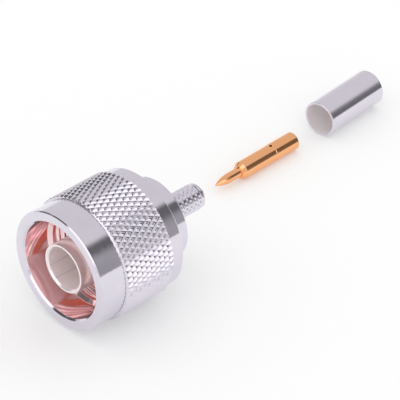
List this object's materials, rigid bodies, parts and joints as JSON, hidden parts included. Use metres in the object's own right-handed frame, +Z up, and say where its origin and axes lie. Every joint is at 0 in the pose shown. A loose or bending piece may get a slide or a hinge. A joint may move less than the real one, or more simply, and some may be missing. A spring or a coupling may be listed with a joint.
{
  "type": "n type coaxial plug",
  "caption": "Crimp-on type N coaxial plug with a knurled turning coupling nut, shown with its loose gold centre pin and crimp ferrule lying behind it.",
  "frame": {"origin": "centre of the outer contact's front face, the interface's reference plane, on the plug's axis", "axes": "+X along the plug's axis from the mating end to the cable; +Z up from the surface that the pieces lie on"},
  "size_m": [0.0788, 0.0233, 0.0206],
  "materials": {
    "nickel": "bright nickel plating, slightly satin",
    "gold": "polished gold plating",
    "ptfe": "waxy white",
    "silicone": "smooth red silicone rubber",
    "bronze": "plain spring bronze"
  },
  "bodies": {
    "plug": {"connector_body": "nickel", "outer_contact": "nickel", "insulator": "ptfe", "gasket": "silicone", "retaining_ring": "bronze", "center_pin": "gold", "crimp_ferrule": "nickel"},
    "nut": {"coupling_nut": "nickel"}
  },
  "joints": [
    {"name": "nut_spin", "type": "hinge", "parent": "plug", "child": "nut", "pos_m": [0.008, 0, 0], "axis": [1, 0, 0], "continuous": true}
  ]
}
